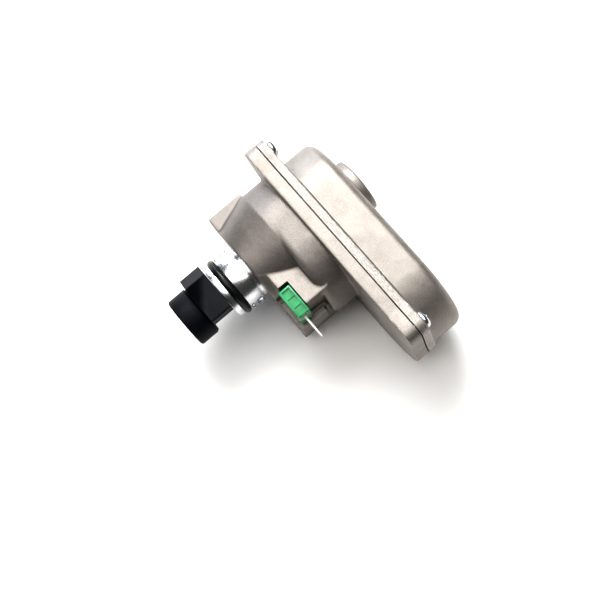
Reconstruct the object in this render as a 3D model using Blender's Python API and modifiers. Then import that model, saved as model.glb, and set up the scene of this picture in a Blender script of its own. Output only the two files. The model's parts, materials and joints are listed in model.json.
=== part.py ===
"""Motorised actuator head: a geared motor in a die-cast housing that turns an output shaft
a quarter turn, through a plated spigot with a sealing ring.

All sizes are in millimetres in the part's own layout: the origin is on the output axis at the
parting plane of the two housing halves, +X runs along the flange towards the motor, +Y towards
the rear cover and +Z up. `at` turns a place in the layout into metres in the world, where the
floor is z = 0 and the origin is under the middle of the object.
"""
import math

import bmesh
import bpy
from mathutils import Matrix, Vector

# ---------------------------------------------------------------- driving dimensions (mm)
MM = 0.001
GAP = 0.2                      # between pieces that rest on each other
MOTOR_X = 50.0                 # motor axis, measured from the output axis
FLANGE_R = 27.7                # round ends of the flange
FLANGE_FRONT = -5.6            # front face of the flange
GASKET_FRONT, GASKET_REAR = 0.12, 0.42
FLANGE_REAR_BASE = 0.54        # rear cover's joint face
FLANGE_REAR = 4.4              # face under the cover screws
EAR_R = 5.5                    # screw ears
EAR_LEFT, EAR_RIGHT, EAR_Z = -28.0, 69.5, 23.0
LOWER_SCREW_X = 16.0           # the fourth screw sits in a recess of the cover's lower side
LOWER_SCREW_Z = -23.0
CAVITY_R = 23.0                # inside of both halves
COVER_X, COVER_R, COVER_REAR, COVER_ROUND = 50.5, 25.5, 21.0, 4.0
COVER_INSIDE = 18.8
BOSS_X, BOSS_R, BOSS_REAR = 2.0, 12.7, 26.0
DRUM_R, DRUM_FRONT, DRUM_X, DRUM_ROUND = 26.3, -18.5, 12.5, 3.0
DRUM_CAVITY_R, DRUM_FLOOR = 22.8, -16.3
TURRET_R_REAR, TURRET_R_NOSE, NOSE = 26.1, 20.6, -34.8
TURRET_REAR = -17.4
TURRET_CAVITY_R, TURRET_FLOOR = 17.0, -31.0
SEAT_Y = -33.6                 # bottom of the nose's recess, where the spigot's shoulder rests
MOTOR_FLOOR = -3.4             # inside of the flange under the motor
BLOCK_X, BLOCK_TOP, BLOCK_FRONT, BLOCK_REAR = 32.2, 18.5, -31.3, -14.6
BLOCK_STEP_X, BLOCK_STEP_Z, BLOCK_FOOT_Z = 34.4, 2.0, -23.7
POCKET_X, POCKET_Y = 19.4, -26.2
RAIL_X, RAIL_REAR = 36.8, -20.5     # ledge along the right side of the terminal block
SPIGOT_R, SPIGOT_TAIL_R, SPIGOT_BORE = 12.9, 10.0, 8.1
O_RING_Y, O_RING_R, O_RING_SECTION = -46.1, 12.45, 1.75
COLLAR_R, COLLAR_REAR, COLLAR_FRONT = 13.3, -48.0, -50.6
SHAFT_R, SHAFT_REAR_R = 5.0, 4.0
DRIVE_BLOCK_REAR, DRIVE_BLOCK_FRONT = -50.9, -61.2
HUB_R, HUB_FRONT = 11.8, -71.2
PLATE_FRONT, PLATE_REAR, PLATE_R = 9.5, 11.0, 22.3
MOTOR_R = 20.0
AXLE_R = 1.0
TOOTH_ADDENDUM, TOOTH_DEDENDUM = 0.9, 1.2

# gear train, from the output back to the motor: teeth and modules
OUTPUT_TEETH, SECOND_PINION_TEETH, LAST_MODULE = 44, 12, 0.75
SECOND_TEETH, FIRST_PINION_TEETH, MIDDLE_MODULE = 45, 12, 0.6
FIRST_TEETH, MOTOR_PINION_TEETH, FIRST_MODULE = 40, 12, 0.5
SECOND_GEAR_ANGLE = math.radians(12.0)

# the object's box in the layout, which sets the world's origin
X_LOW, X_HIGH = EAR_LEFT - EAR_R, MOTOR_X + FLANGE_R
Y_LOW, Y_HIGH = HUB_FRONT, BOSS_REAR
AXIS_HEIGHT = EAR_Z + EAR_R
CENTRE_X, CENTRE_Y = (X_LOW + X_HIGH) / 2, (Y_LOW + Y_HIGH) / 2

for old in list(bpy.data.objects):
    bpy.data.objects.remove(old)
for old in list(bpy.data.collections):
    bpy.data.collections.remove(old)

part = bpy.data.collections.new("motorised_actuator_head")
cutters = bpy.data.collections.new("cutters")
bpy.context.scene.collection.children.link(part)
bpy.context.scene.collection.children.link(cutters)


# ---------------------------------------------------------------- materials
FINISHES = {                   # colour, roughness, metallic
    "cast_alloy": ((0.62, 0.57, 0.52), 0.5, 0.75),
    "bright_zinc": ((0.78, 0.79, 0.80), 0.25, 1.0),
    "chrome": ((0.85, 0.86, 0.88), 0.08, 1.0),
    "steel": ((0.60, 0.60, 0.61), 0.35, 1.0),
    "brass": ((0.72, 0.55, 0.27), 0.35, 1.0),
    "black_rubber": ((0.015, 0.015, 0.016), 0.35, 0.0),
    "black_plastic": ((0.02, 0.02, 0.024), 0.4, 0.0),
    "white_plastic": ((0.85, 0.85, 0.82), 0.4, 0.0),
    "green_plastic": ((0.05, 0.45, 0.18), 0.3, 0.0),
    "gasket_fibre": ((0.10, 0.09, 0.08), 0.9, 0.0),
    "board_green": ((0.03, 0.22, 0.10), 0.5, 0.0),
    "lead_blue": ((0.05, 0.12, 0.45), 0.5, 0.0),
}


def finish(name):
    """Return the named Principled material, made the first time it is asked for."""
    found = bpy.data.materials.get(name)
    if found:
        return found
    colour, roughness, metallic = FINISHES[name]
    made = bpy.data.materials.new(name)
    made.use_nodes = True
    shader = made.node_tree.nodes["Principled BSDF"]
    shader.inputs["Base Color"].default_value = (*colour, 1.0)
    shader.inputs["Roughness"].default_value = roughness
    shader.inputs["Metallic"].default_value = metallic
    return made


# ---------------------------------------------------------------- helpers
def at(x, y, z):
    """A place in the layout (mm) as a place in the world (m)."""
    return Vector((x - CENTRE_X, y - CENTRE_Y, z + AXIS_HEIGHT)) * MM


def arc(cx, cz, radius, start, end, count):
    """Points on an arc in the XZ plane, angles in degrees from +X towards +Z."""
    steps = [math.radians(start + (end - start) * i / (count - 1)) for i in range(count)]
    return [(cx + radius * math.cos(a), cz + radius * math.sin(a)) for a in steps]


def put(obj, material_name):
    """Link an object to the part with its material."""
    part.objects.link(obj)
    obj.data.materials.clear()
    obj.data.materials.append(finish(material_name))
    return obj


def tool(obj):
    """Link an object as a cutter or a joined body: it is only drawn as wire."""
    cutters.objects.link(obj)
    obj.hide_render = True
    obj.display_type = "WIRE"
    return obj


def along_y(name, mesh, x, y, z):
    """An object whose mesh was made along its local +Z, turned to lie along world +Y."""
    obj = bpy.data.objects.new(name, mesh)
    obj.location = at(x, y, z)
    obj.rotation_euler = (math.radians(-90), 0, 0)
    return obj


def prism(name, outline, y_front, y_rear):
    """A flat outline in the XZ plane made as thick as y_front to y_rear."""
    curve = bpy.data.curves.new(name, "CURVE")
    curve.dimensions = "2D"
    curve.fill_mode = "BOTH"
    curve.extrude = (y_rear - y_front) / 2 * MM
    spline = curve.splines.new("POLY")
    spline.points.add(len(outline) - 1)
    for point, (x, z) in zip(spline.points, outline):
        point.co = (x * MM, -z * MM, 0, 1)
    spline.use_cyclic_u = True
    source = along_y(name + "_curve", curve, 0, (y_front + y_rear) / 2, 0)
    cutters.objects.link(source)
    seen = source.evaluated_get(bpy.context.evaluated_depsgraph_get())
    mesh = bpy.data.meshes.new_from_object(seen)
    weld(mesh)
    obj = bpy.data.objects.new(name, mesh)
    obj.matrix_world = source.matrix_basis
    bpy.data.objects.remove(source)
    return obj


def weld(mesh):
    """Join the loose caps of a filled curve to its sides and make each cap one face."""
    shape = bmesh.new()
    shape.from_mesh(mesh)
    bmesh.ops.remove_doubles(shape, verts=shape.verts, dist=0.000001)
    bmesh.ops.dissolve_limit(shape, angle_limit=math.radians(1), verts=shape.verts,
                             edges=shape.edges)
    bmesh.ops.recalc_face_normals(shape, faces=shape.faces)
    shape.to_mesh(mesh)
    shape.free()


def stadium(x_end, radius, half_count):
    """Outline with round ends about x = 0 and x_end."""
    left = arc(0, 0, radius, 90, 270, half_count)
    right = arc(x_end, 0, radius, -90, 90, half_count)
    return left + right


def rod(name, radius, y_front, y_rear, x=0.0, z=0.0, sides=32, radius_rear=None):
    """A round bar or cone along Y."""
    shape = bmesh.new()
    rear = radius if radius_rear is None else radius_rear
    length = (y_rear - y_front) * MM
    bmesh.ops.create_cone(shape, cap_ends=True, cap_tris=False, segments=sides,
                          radius1=radius * MM, radius2=rear * MM, depth=length)
    mesh = bpy.data.meshes.new(name)
    shape.to_mesh(mesh)
    shape.free()
    return along_y(name, mesh, x, (y_front + y_rear) / 2, z)


def brick(name, x0, x1, y0, y1, z0, z1):
    """A box given by its lowest and highest corners."""
    shape = bmesh.new()
    size = Matrix.Diagonal(((x1 - x0) * MM, (y1 - y0) * MM, (z1 - z0) * MM, 1))
    bmesh.ops.create_cube(shape, size=1.0, matrix=size)
    mesh = bpy.data.meshes.new(name)
    shape.to_mesh(mesh)
    shape.free()
    obj = bpy.data.objects.new(name, mesh)
    obj.location = at((x0 + x1) / 2, (y0 + y1) / 2, (z0 + z1) / 2)
    return obj


def turned(name, profile, closed=False, x=0.0, z=0.0, sides=32):
    """A turned piece: profile points are (radius, y), from the rear end down the outer side.

    A closed profile is a ring; an open one starts and ends on the axis.
    """
    mesh = bpy.data.meshes.new(name)
    points = [(r * MM, 0, y * MM) for r, y in profile]
    edges = [(i, i + 1) for i in range(len(points) - 1)]
    if closed:
        edges.append((len(points) - 1, 0))
    mesh.from_pydata(points, edges, [])
    obj = along_y(name, mesh, x, 0, z)
    screw = obj.modifiers.new("turn", "SCREW")
    screw.axis = "Z"
    screw.steps = screw.render_steps = sides
    screw.use_merge_vertices = True
    screw.merge_threshold = 0.00001
    return obj


def ring(name, inner, outer, y_front, y_rear, x=0.0, z=0.0, sides=28):
    """A washer or tube along Y."""
    profile = [(outer, y_rear), (outer, y_front), (inner, y_front), (inner, y_rear)]
    return turned(name, profile, closed=True, x=x, z=z, sides=sides)


def soften(obj, width, segments=2, angle=50):
    """Round the edges sharper than the angle."""
    bevel = obj.modifiers.new("round", "BEVEL")
    bevel.width = width * MM
    bevel.segments = segments
    bevel.limit_method = "ANGLE"
    bevel.angle_limit = math.radians(angle)
    return obj


def boolean(target, other, operation):
    """Cut, join or intersect with another body, which becomes a hidden tool."""
    tool(other)
    modifier = target.modifiers.new(operation.lower(), "BOOLEAN")
    modifier.operation = operation
    modifier.solver = "EXACT"
    modifier.object = other
    return target


def cut(target, *others):
    for other in others:
        boolean(target, other, "DIFFERENCE")


def join(target, *others):
    for other in others:
        boolean(target, other, "UNION")


def closed_cuts(obj):
    """Use the solver for closed meshes, where the exact one leaves an open edge."""
    for modifier in obj.modifiers:
        if modifier.type == "BOOLEAN":
            modifier.solver = "MANIFOLD"


def smooth(obj, angle=35):
    """Shade the round faces smooth and keep the sharp edges."""
    obj.data.shade_smooth()
    obj.data.set_sharp_from_angle(angle=math.radians(angle))
    return obj


# ---------------------------------------------------------------- housing
def flange_outline():
    """The joint flange of both halves: round ends, three corner ears."""
    right_end = arc(MOTOR_X, 0, FLANGE_R, -90, 18, 13)
    right_ear = arc(EAR_RIGHT, EAR_Z, EAR_R, -18, 90, 7)
    upper_left_ear = arc(EAR_LEFT, EAR_Z, EAR_R, 90, 180, 6)
    left_end = arc(0, 0, FLANGE_R, 168, 192, 4)
    lower_left_ear = arc(EAR_LEFT, -EAR_Z, EAR_R, 180, 270, 6)
    top = [(60.0, FLANGE_R), (-18.0, FLANGE_R)]
    bottom = [(-18.0, -FLANGE_R)]
    return right_end + right_ear + top + upper_left_ear + left_end + lower_left_ear + bottom


SCREW_PLACES = [(EAR_LEFT, EAR_Z), (EAR_RIGHT, EAR_Z), (EAR_LEFT, -EAR_Z),
                (LOWER_SCREW_X, LOWER_SCREW_Z)]
LEFT_PILLARS = [(-14.3, 14.5), (-14.3, -14.5)]
RIGHT_PILLARS = [(30.5, 17.0), (30.5, -17.0)]
BOARD_SCREWS = [(-17.2, 7.0), (-17.2, -7.0)]


def cavity(name, x_end, radius, y_front, y_rear, post_radius, rounded=0.0):
    """The space inside a half, left solid around the lower screw."""
    hollow = prism(name, stadium(x_end, radius, 17), y_front, y_rear)
    if rounded:
        soften(hollow, rounded, 2)
    cut(hollow, rod(name + "_post", post_radius, y_front - 1, y_rear + 1,
                    LOWER_SCREW_X, LOWER_SCREW_Z, 24))
    return hollow


def front_housing():
    """Front half: flange, drum, tapering turret, left lug and terminal block in one casting."""
    body = soften(prism("front_housing", flange_outline(), FLANGE_FRONT, 0), 0.5, 1)
    drum = soften(prism("drum", stadium(DRUM_X, DRUM_R, 19), DRUM_FRONT, -0.8), DRUM_ROUND, 3)
    turret = rod("turret", TURRET_R_NOSE, NOSE, TURRET_REAR, sides=48,
                 radius_rear=TURRET_R_REAR)
    lug = soften(brick("lug", -28, -12, NOSE + 0.2, DRUM_FRONT + 2, -14, 5), 0.8)
    upper_block = soften(brick("upper_block", 6, BLOCK_X, BLOCK_FRONT, BLOCK_REAR, -8,
                               BLOCK_TOP), 0.5, 1)
    lower_block = soften(brick("lower_block", 6, BLOCK_STEP_X, NOSE + 0.2, BLOCK_REAR - 0.4,
                               BLOCK_FOOT_Z, BLOCK_STEP_Z), 0.5, 1)
    rail = soften(brick("rail", BLOCK_STEP_X - 1, RAIL_X, NOSE + 0.5, RAIL_REAR, -8,
                        BLOCK_STEP_Z + 0.2), 0.4, 1)
    join(body, drum, turret, lug, upper_block, lower_block, rail)
    cut(body, cavity("drum_cavity", DRUM_X, DRUM_CAVITY_R, DRUM_FLOOR, 1, 4.8),
        cavity("motor_cavity", MOTOR_X, CAVITY_R, MOTOR_FLOOR, 0.7, 4.8),
        rod("turret_cavity", TURRET_CAVITY_R, TURRET_FLOOR, -15, sides=32),
        rod("nose_bore", SPIGOT_TAIL_R + 0.3, NOSE - 1, -30, sides=32),
        rod("nose_recess", SPIGOT_R + 0.3, NOSE - 1, SEAT_Y, sides=40),
        brick("terminal_pocket", POCKET_X, 45, -40, POCKET_Y, BLOCK_STEP_Z + 0.3, 30),
        rod("wire_passage", 2.5, -27, -15, 25, 10, 16))
    for number, (x, z) in enumerate(LEFT_PILLARS):
        join(body, rod(f"seat_{number}", 3.2, -17, MOTOR_FLOOR, x, z, 20))
    for number, (x, z) in enumerate(SCREW_PLACES):
        cut(body, rod(f"tapped_{number}", 2.05, -4.8, 1, x, z, 16))
    for number, (x, z) in enumerate(BOARD_SCREWS):
        cut(body, rod(f"board_tapped_{number}", 1.1, -20, -15, x, z, 12))
    closed_cuts(body)
    return smooth(put(body, "cast_alloy"))


def rear_cover():
    """Rear half: flange, deep cover over motor and gears, round boss for the rear bearing."""
    body = soften(prism("rear_cover", flange_outline(), FLANGE_REAR_BASE, FLANGE_REAR), 0.5, 1)
    shell = soften(prism("cover_body", stadium(COVER_X, COVER_R, 23), 1.2, COVER_REAR),
                   COVER_ROUND, 3)
    cut(shell, rod("screw_recess", 5.2, FLANGE_REAR, 30, LOWER_SCREW_X, LOWER_SCREW_Z, 24))
    boss = soften(rod("boss", BOSS_R, 17, BOSS_REAR, BOSS_X, sides=40), 0.8, 1)
    hollow = cavity("cover_cavity", MOTOR_X, CAVITY_R, -2.2, COVER_INSIDE, 7.4, 2.0)
    join(body, shell, boss)
    cut(body, hollow, rod("bush_seat", 6.7, 16, 23.4, sides=32))
    for number, (x, z) in enumerate(SCREW_PLACES):
        cut(body, rod(f"clearance_{number}", 2.3, 0, 6, x, z, 16))
    return smooth(put(body, "cast_alloy"))


def cover_gasket():
    """Thin fibre gasket in the joint."""
    sheet = prism("cover_gasket", stadium(MOTOR_X, FLANGE_R - 0.3, 17), GASKET_FRONT,
                  GASKET_REAR)
    cut(sheet, cavity("gasket_window", MOTOR_X, CAVITY_R + 0.3, -1, 2, 4.6),
        rod("gasket_hole", 2.3, -1, 2, LOWER_SCREW_X, LOWER_SCREW_Z, 16))
    return put(sheet, "gasket_fibre")


def pan_screw(name, x, z, seat, head_r, head_h, shank_r, tip, material_name):
    """Pan-head screw with a cross recess: the head rests on the face at y = seat."""
    top = seat + GAP + head_h
    profile = [(0, top), (head_r * 0.55, top), (head_r * 0.9, top - head_h * 0.35),
               (head_r, seat + GAP), (shank_r, seat + GAP), (shank_r, tip + 0.4),
               (shank_r - 0.4, tip), (0, tip)]
    screw = turned(name, profile, x=x, z=z, sides=16)
    long, wide = head_r * 0.5, head_r * 0.12
    cut(screw, brick(name + "_slot_a", x - long, x + long, top - head_h * 0.45, top + 1,
                     z - wide, z + wide),
        brick(name + "_slot_b", x - wide, x + wide, top - head_h * 0.45, top + 1,
              z - long, z + long))
    return smooth(put(screw, material_name))


# ---------------------------------------------------------------- nose
def nose_pieces():
    """Plated spigot, its sealing ring, bush, shaft seal and retaining ring."""
    tail_end = -28.9
    profile = [(SPIGOT_TAIL_R, tail_end), (SPIGOT_TAIL_R, -29.8), (9.2, -29.8), (9.2, -30.8),
               (SPIGOT_TAIL_R, -30.8), (SPIGOT_TAIL_R, SEAT_Y - GAP), (SPIGOT_R, SEAT_Y - GAP),
               (SPIGOT_R, -44.2), (10.6, -44.2), (10.6, COLLAR_REAR), (COLLAR_R, COLLAR_REAR),
               (COLLAR_R, COLLAR_FRONT), (SPIGOT_BORE, COLLAR_FRONT), (SPIGOT_BORE, tail_end)]
    spigot = turned("nose_spigot", profile, closed=True, sides=40)
    for side in (18, 198):
        for number, (front, rear) in enumerate(((-40.9, -37.8), (-44.0, -42.6))):
            lug = brick(f"spigot_lug_{side}_{number}", -3.2, 3.2, front, rear, -1, 1.0)
            angle = math.radians(side)
            lug.location = at(SPIGOT_R * math.cos(angle), (front + rear) / 2,
                              SPIGOT_R * math.sin(angle))
            lug.rotation_euler = (0, math.radians(90) - angle, 0)
            join(spigot, lug)
    smooth(put(spigot, "chrome"))

    bpy.ops.mesh.primitive_torus_add(major_segments=40, minor_segments=8,
                                     major_radius=O_RING_R * MM,
                                     minor_radius=O_RING_SECTION * MM)
    o_ring = bpy.context.object
    o_ring.name = "spigot_o_ring"
    o_ring.users_collection[0].objects.unlink(o_ring)
    o_ring.location = at(0, O_RING_Y, 0)
    o_ring.rotation_euler = (math.radians(-90), 0, 0)
    smooth(put(o_ring, "black_rubber"), 180)
    smooth(put(ring("nose_bush", SHAFT_R + 0.12, SPIGOT_BORE - 0.2, -39.8, -30.0), "brass"))
    smooth(put(ring("shaft_seal", SHAFT_R + 0.12, SPIGOT_BORE - 0.2, -44.0, -40.5),
               "black_rubber"))
    clip = arc(0, 0, 12.4, -70, 250, 25) + arc(0, 0, 9.45, 250, -70, 25)
    put(prism("spigot_retaining_ring", clip, -30.7, -29.9), "steel")


def shaft_pieces():
    """Everything that turns with the output: shaft, cams, washer, block, hub, end screw."""
    profile = [(0, 22.8), (SHAFT_REAR_R, 22.8), (SHAFT_REAR_R, 15.2), (SHAFT_R, 15.2),
               (SHAFT_R, -69.2), (1.6, -69.2), (1.6, -61.0), (0, -61.0)]
    smooth(put(turned("output_shaft", profile), "steel"))
    smooth(put(ring("rear_bush", SHAFT_REAR_R + 0.12, 6.5, 19.1, 23.2), "brass"))
    smooth(put(ring("thrust_washer", SHAFT_R + 0.12, 9.0, -28.6, -27.6), "steel"))
    for name, start, front in (("switch_cam_a", -20, -12.4), ("switch_cam_b", 38, -10.1)):
        lobe = arc(0, 0, 11.5, start, start + 60 + 20 * (start < 0), 11)
        base = arc(0, 0, 9.5, start + 72 + 20 * (start < 0), start + 348, 25)
        cam = prism(name, lobe + base, front, front + 2.1)
        cut(cam, rod(name + "_bore", SHAFT_R + 0.12, -20, 0, sides=32))
        put(cam, "white_plastic")

    outline = [(-14.8, 5.0), (-6.7, 17.0), (11.2, 15.0), (9.6, 3.0), (5.0, -9.5),
               (-9.0, -10.6)]
    block = soften(prism("drive_block", outline[::-1], DRIVE_BLOCK_FRONT, DRIVE_BLOCK_REAR),
                   0.7, 2, 20)
    cut(block, rod("block_bore", SHAFT_R + 0.12, -70, -40, sides=32))
    smooth(put(block, "black_plastic"))

    hub = soften(rod("drive_hub", HUB_R, HUB_FRONT, DRIVE_BLOCK_FRONT - GAP, sides=40), 0.6, 1)
    cut(hub, rod("hub_bore", SHAFT_R + 0.12, -80, -50, sides=32))
    smooth(put(hub, "black_plastic"))
    head = [(0, -62.5), (1.4, -62.5), (1.4, -69.4), (4.5, -69.4), (4.5, -70.6), (3.8, -71.0),
            (0, -71.0)]
    screw = turned("hub_screw", head, sides=20)
    cut(screw, brick("hub_screw_slot", -3.4, 3.4, -73, -70.3, -0.5, 0.5))
    smooth(put(screw, "steel"))


# ---------------------------------------------------------------- gear train
def gear_outline(teeth, module, tooth_angle):
    """Spur gear outline; a tooth is centred on tooth_angle (radians)."""
    pitch = 2 * math.pi / teeth
    root = module * (teeth / 2 - TOOTH_DEDENDUM)
    tip = module * (teeth / 2 + TOOTH_ADDENDUM)
    points = []
    for i in range(teeth):
        middle = tooth_angle + i * pitch
        for radius, offset in ((root, -0.26), (tip, -0.09), (tip, 0.09), (root, 0.26)):
            a = middle + offset * pitch
            points.append((radius * math.cos(a), radius * math.sin(a)))
    return points


def gear(name, centre, teeth, module, tooth_angle, front, rear, bore, material_name, hub=0.0):
    """A spur gear about its own axis, bored for its shaft."""
    outline = gear_outline(teeth, module, tooth_angle)
    wheel = prism(name, [(centre[0] + x, centre[1] + z) for x, z in outline], front, rear)
    if hub:
        join(wheel, rod(name + "_hub", hub, front + 0.1, rear + 0.8, *centre, 20))
    cut(wheel, rod(name + "_bore", bore, front - 5, rear + 5, *centre, 20))
    return put(wheel, material_name)


def centre_distance(teeth_a, teeth_b, module):
    return module * (teeth_a + teeth_b) / 2


def meeting_point(a, radius_a, b, radius_b):
    """Where two circles meet, on the left of the line from a to b."""
    gap = math.dist(a, b)
    along = (radius_a ** 2 - radius_b ** 2 + gap ** 2) / (2 * gap)
    off = math.sqrt(radius_a ** 2 - along ** 2)
    ux, uz = (b[0] - a[0]) / gap, (b[1] - a[1]) / gap
    return (a[0] + along * ux - off * uz, a[1] + along * uz + off * ux)


def direction(a, b):
    return math.atan2(b[1] - a[1], b[0] - a[0])


OUTPUT_AXIS = (0.0, 0.0)
MOTOR_AXIS = (MOTOR_X, 0.0)
LAST_DISTANCE = centre_distance(OUTPUT_TEETH, SECOND_PINION_TEETH, LAST_MODULE)
SECOND_AXIS = (LAST_DISTANCE * math.cos(SECOND_GEAR_ANGLE),
               LAST_DISTANCE * math.sin(SECOND_GEAR_ANGLE))
FIRST_AXIS = meeting_point(SECOND_AXIS,
                           centre_distance(SECOND_TEETH, FIRST_PINION_TEETH, MIDDLE_MODULE),
                           MOTOR_AXIS,
                           centre_distance(FIRST_TEETH, MOTOR_PINION_TEETH, FIRST_MODULE))


def gear_train():
    """Output gear, two compound gears, motor pinion: each wheel has a tooth on the line to
    the pinion that it meets, and the pinion has a gap there."""
    def half_tooth(teeth):
        return math.pi / teeth

    gear("output_gear", OUTPUT_AXIS, OUTPUT_TEETH, LAST_MODULE,
         direction(OUTPUT_AXIS, SECOND_AXIS), 11.6, 14.4, SHAFT_R + 0.12, "brass", 6.4)
    gear("second_pinion", SECOND_AXIS, SECOND_PINION_TEETH, LAST_MODULE,
         direction(SECOND_AXIS, OUTPUT_AXIS) + half_tooth(SECOND_PINION_TEETH),
         11.4, 14.7, AXLE_R + 0.1, "steel")
    gear("second_wheel", SECOND_AXIS, SECOND_TEETH, MIDDLE_MODULE,
         direction(SECOND_AXIS, FIRST_AXIS), 14.9, 16.6, AXLE_R + 0.1, "brass")
    gear("first_pinion", FIRST_AXIS, FIRST_PINION_TEETH, MIDDLE_MODULE,
         direction(FIRST_AXIS, SECOND_AXIS) + half_tooth(FIRST_PINION_TEETH),
         14.4, 17.0, AXLE_R + 0.1, "steel")
    gear("first_wheel", FIRST_AXIS, FIRST_TEETH, FIRST_MODULE,
         direction(FIRST_AXIS, MOTOR_AXIS), 12.4, 14.2, AXLE_R + 0.1, "white_plastic")
    gear("motor_pinion", MOTOR_AXIS, MOTOR_PINION_TEETH, FIRST_MODULE,
         direction(MOTOR_AXIS, FIRST_AXIS) + half_tooth(MOTOR_PINION_TEETH),
         12.0, 14.6, 1.3, "brass")
    smooth(put(rod("motor_shaft", 1.2, 2.0, 15.2, *MOTOR_AXIS, 16), "steel"))
    for name, axis in (("first_axle", FIRST_AXIS), ("second_axle", SECOND_AXIS)):
        smooth(put(rod(name, AXLE_R, PLATE_FRONT + 0.2, 18.0, *axis, 16), "steel"))


# ---------------------------------------------------------------- frame inside
def inner_frame():
    """Gear plate on four pillars, and the screws that hold it."""
    plate = prism("gear_plate", stadium(MOTOR_X, PLATE_R, 17), PLATE_FRONT, PLATE_REAR)
    cut(plate, rod("plate_recess", 8.2, 5, 15, LOWER_SCREW_X, LOWER_SCREW_Z, 24),
        rod("plate_shaft_hole", SHAFT_R + 1.0, 5, 15, sides=32),
        rod("plate_motor_hole", 2.0, 5, 15, *MOTOR_AXIS, 16),
        rod("plate_first_hole", AXLE_R + 0.1, 5, 15, *FIRST_AXIS, 16),
        rod("plate_second_hole", AXLE_R + 0.1, 5, 15, *SECOND_AXIS, 16))
    for number, (x, z) in enumerate(LEFT_PILLARS + RIGHT_PILLARS, 1):
        cut(plate, rod(f"plate_hole_{number}", 1.7, 5, 15, x, z, 12))
        pillar = rod(f"plate_pillar_{number}", 2.2, MOTOR_FLOOR + GAP, PLATE_FRONT - GAP,
                     x, z, 20)
        cut(pillar, rod(f"pillar_hole_{number}", 1.5, 3, 12, x, z, 12))
        smooth(put(pillar, "bright_zinc"))
        pan_screw(f"plate_screw_{number}", x, z, PLATE_REAR, 2.3, 1.6, 1.2, 4.0, "steel")
    for number, z in enumerate((13.0, -13.0), 1):
        cut(plate, rod(f"plate_motor_screw_hole_{number}", 1.7, 5, 15, MOTOR_X, z, 12))
        pan_screw(f"motor_screw_{number}", MOTOR_X, z, PLATE_REAR, 2.6, 1.6, 1.3, 6.6, "steel")
    closed_cuts(plate)
    smooth(put(plate, "bright_zinc"))

    can = soften(rod("motor_can", MOTOR_R, MOTOR_FLOOR + GAP, PLATE_FRONT - GAP, *MOTOR_AXIS,
                     sides=36), 0.8, 1)
    cut(can, rod("can_bore", 1.5, 1.0, 12, *MOTOR_AXIS, 16))
    for number, z in enumerate((13.0, -13.0), 1):
        cut(can, rod(f"can_hole_{number}", 1.5, 5.6, 12, MOTOR_X, z, 12))
    smooth(put(can, "bright_zinc"))


def electrics():
    """Circuit board with two limit switches, a capacitor and a connector, and motor leads."""
    board_front, board_rear = DRUM_FLOOR + GAP, DRUM_FLOOR + GAP + 1.4
    board = prism("circuit_board", stadium(DRUM_X, 21.4, 15), board_front, board_rear)
    cut(board, rod("board_shaft_hole", 8.0, -20, -10, sides=32),
        rod("board_recess", 5.6, -21, -9, LOWER_SCREW_X, LOWER_SCREW_Z, 20))
    for number, (x, z) in enumerate(LEFT_PILLARS):
        cut(board, rod(f"board_notch_{number}", 4.0, -20, -10, x, z, 24))
    for number, (x, z) in enumerate(BOARD_SCREWS, 1):
        cut(board, rod(f"board_hole_{number}", 1.3, -20, -10, x, z, 12))
        pan_screw(f"board_screw_{number}", x, z, board_rear, 2.0, 1.3, 1.0, -19.0, "steel")
    closed_cuts(board)
    put(board, "board_green")

    low, high = board_rear + GAP, -7.7
    for name, z0, z1, z_button, y_button in (("a", 1.0, 13.8, 4.5, -11.35),
                                             ("b", -13.8, -1.0, -4.5, -9.05)):
        body = soften(brick(f"limit_switch_{name}", 13.8, 19.8, low, high, z0, z1), 0.3, 1)
        hole = rod(f"switch_{name}_hole", 1.05, 12.0, 16.2, sides=16)
        button = rod(f"switch_button_{name}", 0.9, 11.2, 14.8, sides=16)
        for piece, middle in ((hole, 14.1), (button, 13.0)):
            piece.location = at(middle, y_button, z_button)
            piece.rotation_euler = (0, math.radians(90), 0)
        cut(body, hole)
        put(body, "black_plastic")
        smooth(put(button, "white_plastic"))
    capacitor = soften(rod("board_capacitor", 3.5, low, -4.5, -4, 17.2, 24), 0.4, 1)
    smooth(put(capacitor, "lead_blue"))
    put(soften(brick("board_connector", -8, 2, low, high, -18.6, -12.6), 0.3, 1),
        "white_plastic")

    for number, (rise, end_x, side) in enumerate(((0.0, -4.6, -14.4), (1.9, -1.4, -16.6)), 1):
        route = [(30.2, 3.0 + rise, -5.0), (25.0, 2.6 + rise, -10.5),
                 (15.0, 1.2 + rise, -12.4), (6.0, -1.6 + rise, side),
                 (end_x, -4.6, side), (end_x, high + GAP + 0.1, side)]
        wire(f"motor_lead_{number}", route, 0.6, "lead_blue")


def wire(name, route, radius, material_name):
    """A round lead through the points of its route."""
    curve = bpy.data.curves.new(name, "CURVE")
    curve.dimensions = "3D"
    curve.bevel_depth = radius * MM
    curve.bevel_resolution = 1
    curve.use_fill_caps = True
    spline = curve.splines.new("POLY")
    spline.points.add(len(route) - 1)
    for point, place in zip(spline.points, route):
        point.co = (*at(*place), 1)
    obj = bpy.data.objects.new(name, curve)
    return put(obj, material_name)


def terminal():
    """Green plug in the pocket of the terminal block and its contact pin."""
    plug = soften(brick("terminal_plug", 20.8, 34.8, -32.6, POCKET_Y - 0.4,
                        BLOCK_STEP_Z + 0.5, 18.0), 0.4, 1)
    hole = rod("plug_hole", 0.8, 30.0, 40.0, sides=12)
    pin = rod("contact_pin", 0.65, 32.0, 46.0, sides=12, radius_rear=0.4)
    for piece, middle in ((hole, 35.0), (pin, 39.0)):
        piece.location = at(middle, -30.0, 14.0)
        piece.rotation_euler = (0, math.radians(90), 0)
    cut(plug, hole)
    smooth(put(plug, "green_plastic"))
    smooth(put(pin, "white_plastic"))


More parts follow.
